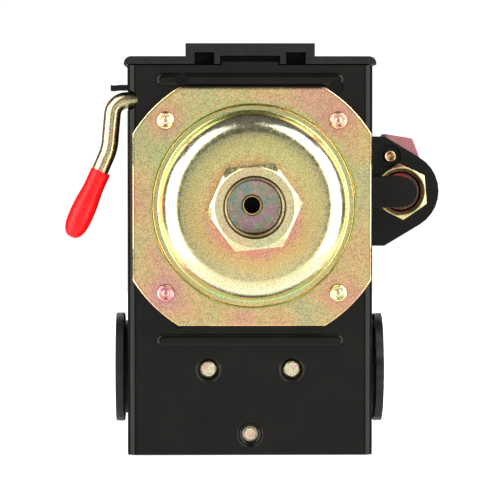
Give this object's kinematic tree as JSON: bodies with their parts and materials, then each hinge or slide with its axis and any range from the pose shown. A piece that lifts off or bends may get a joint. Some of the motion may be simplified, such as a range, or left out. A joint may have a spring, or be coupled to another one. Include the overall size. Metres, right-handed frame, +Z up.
{
  "type": "pressure switch",
  "caption": "Compressor pressure switch in a folded steel base with a domed pressure flange, hexagonal port, on/off lever, cable bushes, unloader valve and moulded cover.",
  "frame": {"origin": "under the middle of the whole object's box, on the plane of its lower end", "axes": "+Z up along the housing, -Y out of the pressure port, +X towards the unloader valve"},
  "size_m": [0.088, 0.082, 0.0957],
  "materials": {
    "black_paint": "gloss black stove enamel",
    "yellow_zinc": "yellow passivated zinc, iridescent",
    "black_plastic": "fine moulded texture",
    "red_vinyl": "dipped vinyl, soft gloss",
    "black_rubber": "matte",
    "red_rubber": "satin",
    "plain_steel": "bright",
    "brass": "plain",
    "brown_phenolic": "moulded thermoset",
    "green_screw": "green passivated",
    "label_foil": "plain brushed foil"
  },
  "bodies": {
    "housing": {"base_frame": "black_paint", "pressure_flange": "yellow_zinc", "port_fitting": "yellow_zinc", "flange_rivet_1": "yellow_zinc", "flange_rivet_2": "yellow_zinc", "flange_rivet_3": "yellow_zinc", "flange_rivet_4": "yellow_zinc", "diaphragm": "black_rubber", "yoke": "yellow_zinc", "pivot_pin": "plain_steel", "contact_block": "brown_phenolic", "block_screw_1": "yellow_zinc", "block_screw_2": "yellow_zinc", "terminal_1": "brass", "terminal_2": "brass", "terminal_3": "brass", "terminal_4": "brass", "terminal_screw_1": "yellow_zinc", "terminal_screw_2": "yellow_zinc", "terminal_screw_3": "yellow_zinc", "terminal_screw_4": "yellow_zinc", "grommet_left": "black_rubber", "grommet_right": "black_rubber", "ground_screw": "green_screw", "unloader_bracket": "black_paint", "bracket_rivet_1": "yellow_zinc", "bracket_rivet_2": "yellow_zinc", "unloader_body": "yellow_zinc", "locating_rivet": "yellow_zinc", "unloader_nut": "yellow_zinc", "unloader_seal": "red_rubber", "unloader_spring": "plain_steel", "tube_nut": "yellow_zinc", "tube_ferrule": "brass", "cover_post": "yellow_zinc", "range_spring": "plain_steel", "differential_spring": "plain_steel"},
    "cover_assembly": {"cover": "black_plastic", "rating_label": "label_foil", "cover_screw": "yellow_zinc"},
    "lever": {"lever_rod": "yellow_zinc", "lever_grip": "red_vinyl", "lever_cam": "brown_phenolic", "lever_clip": "plain_steel"},
    "actuator_arm": {"actuator": "black_paint"},
    "plunger_body": {"plunger": "plain_steel"},
    "contact_slide": {"contact_carrier": "brown_phenolic", "contact_bridge_1": "brass", "contact_bridge_2": "brass", "contact_spring_1": "plain_steel", "contact_spring_2": "plain_steel"},
    "valve_stem": {"unloader_stem": "plain_steel"},
    "range_screw_body": {"range_screw": "yellow_zinc"},
    "range_nut_body": {"range_nut": "yellow_zinc"},
    "differential_screw_body": {"differential_screw": "yellow_zinc"},
    "differential_nut_body": {"differential_nut": "yellow_zinc"}
  },
  "joints": [
    {"name": "on_off_lever", "type": "hinge", "parent": "housing", "child": "lever", "pos_m": [-0.00107, -0.0182, 0.0825], "axis": [1, 0, 0], "range_deg": [0, 40]},
    {"name": "pressure_tilt", "type": "hinge", "parent": "housing", "child": "actuator_arm", "pos_m": [-0.00107, -0.009, 0.078], "axis": [1, 0, 0], "range_deg": [0, 3.5], "stiffness_Nm_per_rad": 0.5, "springref_deg": -11.46, "deforming": ["range_spring", "differential_spring", "unloader_spring", "diaphragm"]},
    {"name": "plunger_slide", "type": "slide", "parent": "housing", "child": "plunger_body", "axis": [0, 1, 0], "range_m": [0, 0.00126]},
    {"name": "contact_slide", "type": "slide", "parent": "housing", "child": "contact_slide", "axis": [0, 1, 0], "range_m": [0, 0.00248]},
    {"name": "stem_slide", "type": "slide", "parent": "housing", "child": "valve_stem", "axis": [0, 1, 0], "range_m": [0, 0.00105]},
    {"name": "range_turn", "type": "hinge", "parent": "housing", "child": "range_screw_body", "pos_m": [-0.00067, 0.013, 0.0578], "axis": [0, -1, 0], "range_deg": [-730, 730]},
    {"name": "range_travel", "type": "slide", "parent": "housing", "child": "range_nut_body", "axis": [0, 1, 0], "range_m": [-0.002, 0.002]},
    {"name": "differential_turn", "type": "hinge", "parent": "housing", "child": "differential_screw_body", "pos_m": [-0.00107, 0.013, 0.0435], "axis": [0, -1, 0], "range_deg": [-730, 730]},
    {"name": "differential_travel", "type": "slide", "parent": "housing", "child": "differential_nut_body", "axis": [0, 1, 0], "range_m": [-0.002, 0.002]},
    {"name": "cover_off", "type": "slide", "parent": "housing", "child": "cover_assembly", "axis": [0, 1, 0], "range_m": [0, 0.07]}
  ],
  "couplings": [
    {"joint": "plunger_slide", "follows": "pressure_tilt", "m_per_rad": 0.0202},
    {"joint": "contact_slide", "follows": "pressure_tilt", "m_per_rad": 0.04},
    {"joint": "stem_slide", "follows": "pressure_tilt", "m_per_rad": 0.0169},
    {"joint": "range_turn", "follows": "range_travel", "rad_per_m": 6283.2},
    {"joint": "differential_turn", "follows": "differential_travel", "rad_per_m": 6283.2}
  ]
}
